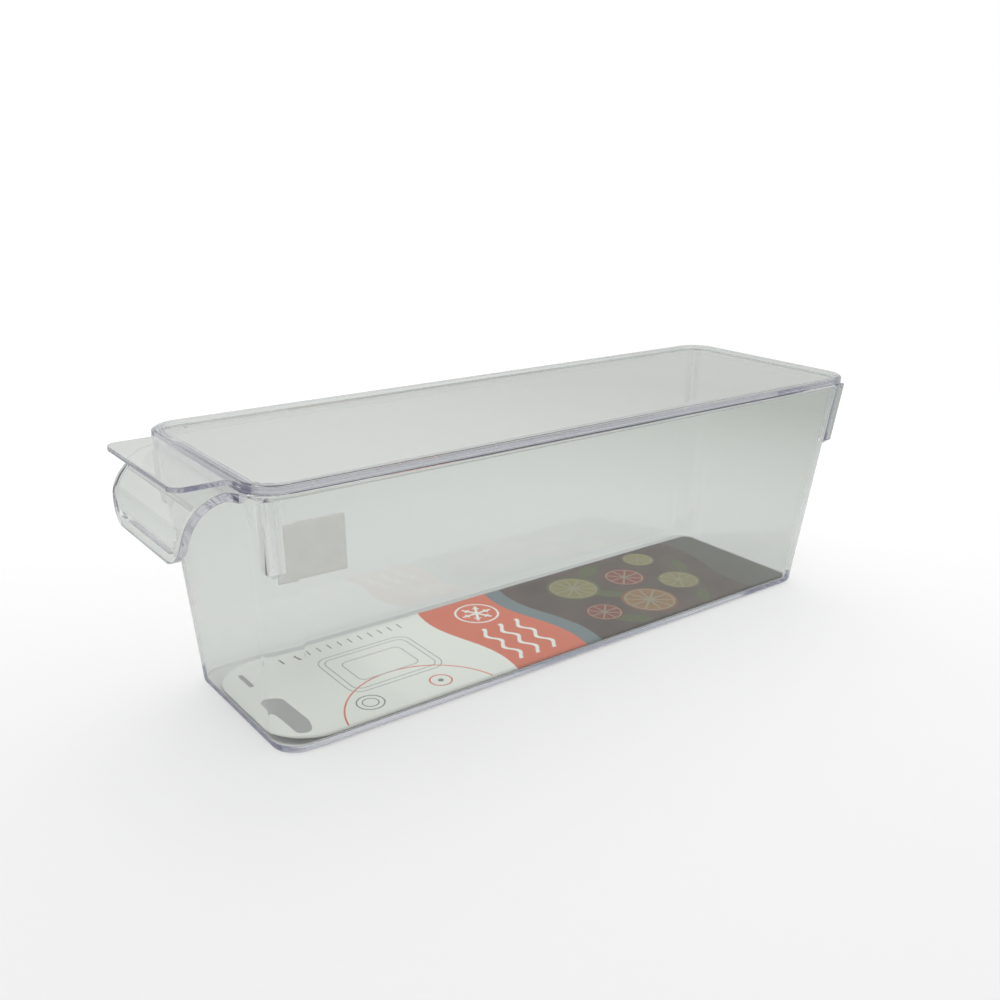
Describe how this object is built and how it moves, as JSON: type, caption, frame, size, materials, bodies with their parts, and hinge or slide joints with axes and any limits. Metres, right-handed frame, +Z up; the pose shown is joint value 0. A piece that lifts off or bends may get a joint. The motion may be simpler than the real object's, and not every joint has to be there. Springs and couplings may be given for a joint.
{
  "type": "fridge storage bin with lid",
  "caption": "Clear tapered fridge storage bin with a curled front handle and a loose lift-off lid, with a printed card on its floor and a small paper sticker on one wall.",
  "frame": {"origin": "on the surface the bin stands on, under the middle of the whole outline, tab included", "axes": "+Z up, +X across to the side the card lies against, +Y along the bin away from the handle"},
  "size_m": [0.1, 0.325, 0.105],
  "materials": {
    "clear_plastic": "clear injection-moulded polystyrene, glossy, faintly grey-green with blue-violet edges",
    "printed_card": "coated paperboard, printed on both faces, satin",
    "paper_sticker": "plain uncoated paper label"
  },
  "bodies": {
    "bin": {"bin": "clear_plastic", "price_sticker": "paper_sticker"},
    "lid": {"lid": "clear_plastic"},
    "card": {"insert_card": "printed_card"}
  },
  "joints": [
    {"name": "lid_lift", "type": "slide", "parent": "bin", "child": "lid", "axis": [0, 0, 1], "range_m": [0, 0.12]},
    {"name": "card_lift", "type": "slide", "parent": "bin", "child": "card", "axis": [0, 0, 1], "range_m": [0, 0.085]}
  ]
}
